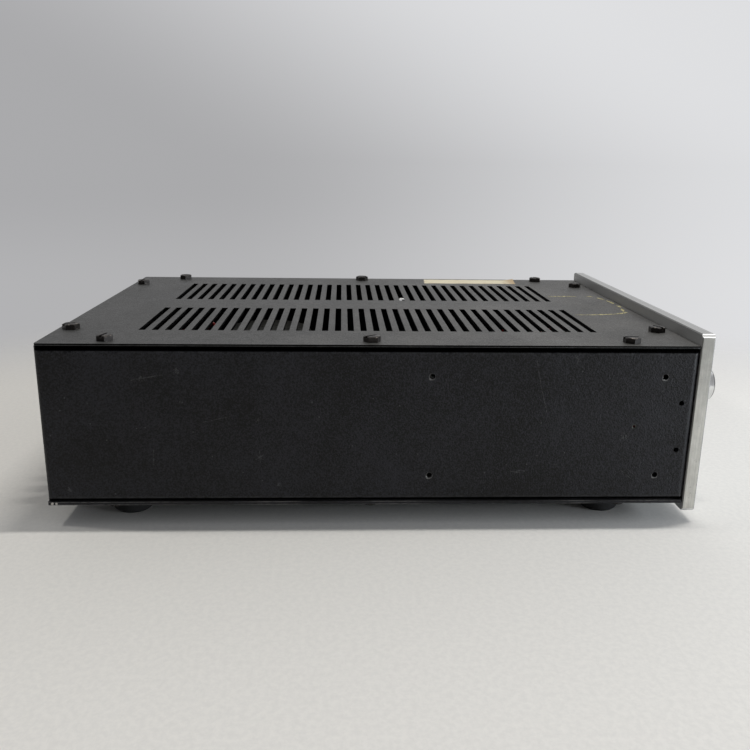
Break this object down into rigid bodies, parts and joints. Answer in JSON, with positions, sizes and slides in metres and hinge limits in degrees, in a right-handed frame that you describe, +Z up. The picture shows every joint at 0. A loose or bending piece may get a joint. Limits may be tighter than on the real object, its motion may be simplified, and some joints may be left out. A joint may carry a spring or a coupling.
{
  "type": "preamplifier",
  "caption": "Half-rack audio preamplifier in a black folded-steel case with slotted covers, a thick aluminium front panel with knobs, toggles and a push button, and sockets at the rear.",
  "frame": {"origin": "on the ground, under the middle of the outer box", "axes": "+Z up, the front panel and knobs face -Y, +X to the right seen from the front"},
  "size_m": [0.2094, 0.3366, 0.0942],
  "materials": {
    "case_paint": "fine textured black paint, scuffed",
    "cover_paint": "fine textured black paint, dusty",
    "panel_aluminium": "brushed, clear anodised",
    "knob_aluminium": "turned and polished",
    "dark_steel": "dark oxide, worn on the edges",
    "zinc_steel": "zinc plated",
    "nickel": "nickel plated",
    "can_steel": "plain grey steel",
    "black_heat_sink": "black anodised",
    "standoff_brass": "plain brass",
    "foot_rubber": "matte black rubber",
    "switch_wafer": "phenolic",
    "switch_red": "moulded",
    "switch_black": "moulded",
    "jack_plastic": "moulded",
    "inlet_plastic": "moulded",
    "lamp_lens": "clear red lens",
    "board_laminate": "green laminate",
    "film_capacitor": "dipped",
    "capacitor_sleeve": "shrink sleeve",
    "chip_epoxy": "moulded",
    "resistor_body": "lacquered",
    "fuse_metal": "plated clips",
    "wound_core": "taped winding on a steel core",
    "red_insulation": "wire insulation",
    "grey_insulation": "cable jacket"
  },
  "bodies": {
    "chassis": {"left_side_panel": "case_paint", "right_side_panel": "case_paint", "rear_panel": "case_paint", "front_subpanel": "case_paint", "front_panel": "panel_aluminium", "top_cover": "cover_paint", "bottom_cover": "cover_paint", "top_cover_screws": "dark_steel", "bottom_cover_screws": "dark_steel", "rear_panel_screws": "dark_steel", "front_panel_screws": "zinc_steel", "clinch_nuts": "zinc_steel", "feet": "foot_rubber", "foot_screws": "zinc_steel", "selector_switch": "switch_wafer", "mode_switch": "switch_wafer", "balance_pot": "zinc_steel", "volume_pot": "zinc_steel", "control_nuts": "nickel", "toggle_switches": "switch_red", "toggle_nuts": "nickel", "power_switch": "switch_black", "power_lamp": "lamp_lens", "jack_shells": "nickel", "jack_insulators": "jack_plastic", "jack_contacts": "nickel", "jack_board": "board_laminate", "ground_screw": "nickel", "mains_inlet": "inlet_plastic", "inlet_pins": "nickel", "inlet_screws": "dark_steel", "main_board": "board_laminate", "board_standoffs": "standoff_brass", "inner_screws": "zinc_steel", "film_capacitors": "film_capacitor", "electrolytic_capacitors": "capacitor_sleeve", "board_chips": "chip_epoxy", "resistors": "resistor_body", "heat_sinks": "black_heat_sink", "mains_fuse": "fuse_metal", "transformer_can": "can_steel", "transformer": "wound_core", "red_leads": "red_insulation", "signal_lead": "grey_insulation"},
    "selector_control": {"selector_shaft": "zinc_steel", "selector_knob": "knob_aluminium", "selector_set_screw": "dark_steel"},
    "mode_control": {"mode_shaft": "zinc_steel", "mode_knob": "knob_aluminium", "mode_set_screw": "dark_steel"},
    "balance_control": {"balance_shaft": "zinc_steel", "balance_knob": "knob_aluminium", "balance_set_screw": "dark_steel"},
    "volume_control": {"volume_shaft": "zinc_steel", "volume_knob": "knob_aluminium", "volume_set_screw": "dark_steel"},
    "tape_toggle": {"tape_lever": "nickel"},
    "filter_toggle": {"filter_lever": "nickel"},
    "mute_toggle": {"mute_lever": "nickel"},
    "power_plunger": {"power_button": "knob_aluminium"}
  },
  "joints": [
    {"name": "selector_turn", "type": "hinge", "parent": "chassis", "child": "selector_control", "pos_m": [-0.0699, -0.15232, 0.06115], "axis": [0, 1, 0], "range_deg": [-60, 60]},
    {"name": "mode_turn", "type": "hinge", "parent": "chassis", "child": "mode_control", "pos_m": [-0.0233, -0.15232, 0.06115], "axis": [0, 1, 0], "range_deg": [-30, 30]},
    {"name": "balance_turn", "type": "hinge", "parent": "chassis", "child": "balance_control", "pos_m": [0.0233, -0.15232, 0.06115], "axis": [0, 1, 0], "range_deg": [-150, 150]},
    {"name": "volume_turn", "type": "hinge", "parent": "chassis", "child": "volume_control", "pos_m": [0.0699, -0.15232, 0.06115], "axis": [0, 1, 0], "range_deg": [-150, 150]},
    {"name": "tape_flip", "type": "hinge", "parent": "chassis", "child": "tape_toggle", "pos_m": [-0.0699, -0.15293, 0.03195], "axis": [-1, 0, 0], "range_deg": [0, 25]},
    {"name": "filter_flip", "type": "hinge", "parent": "chassis", "child": "filter_toggle", "pos_m": [-0.0233, -0.15293, 0.03195], "axis": [-1, 0, 0], "range_deg": [0, 25]},
    {"name": "mute_flip", "type": "hinge", "parent": "chassis", "child": "mute_toggle", "pos_m": [0.0233, -0.15293, 0.03195], "axis": [-1, 0, 0], "range_deg": [0, 25]},
    {"name": "power_press", "type": "slide", "parent": "chassis", "child": "power_plunger", "axis": [0, 1, 0], "range_m": [0, 0.003], "stiffness_N_per_m": 400}
  ]
}
